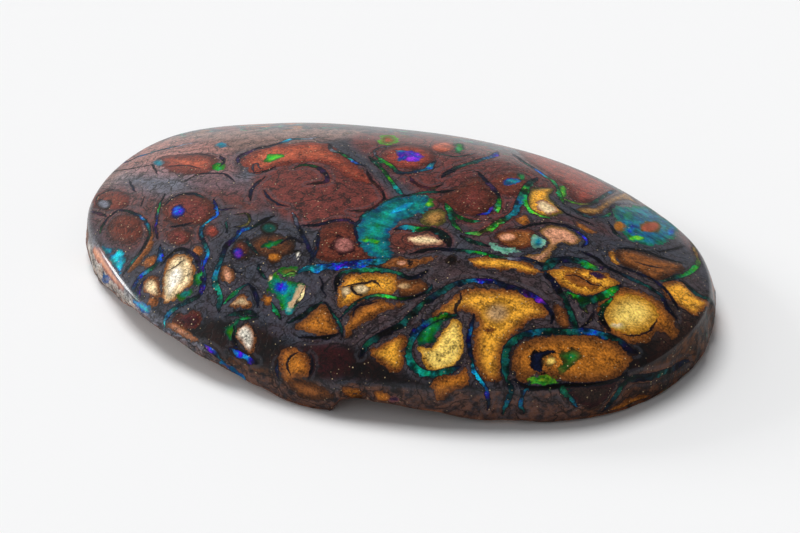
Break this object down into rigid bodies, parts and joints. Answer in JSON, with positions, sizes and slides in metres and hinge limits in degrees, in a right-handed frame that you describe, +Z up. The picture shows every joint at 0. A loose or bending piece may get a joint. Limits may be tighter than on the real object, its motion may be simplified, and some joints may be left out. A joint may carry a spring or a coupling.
{
  "type": "opal",
  "caption": "Polished boulder opal: a low oval dome of dark ironstone crossed by thin blue and green opal veins, with a rough broken wall and a natural underside.",
  "frame": {"origin": "under the middle of the stone's box, on the surface that it rests on", "axes": "+X along the stone's length towards its thick end, +Z up through the dome"},
  "size_m": [0.0472, 0.0326, 0.0076],
  "materials": {
    "polished_ironstone": "polished dark ironstone veined with opal, gloss on the dome, as broken on the wall and underside"
  },
  "bodies": {
    "root": {"opal": "polished_ironstone"}
  },
  "joints": []
}
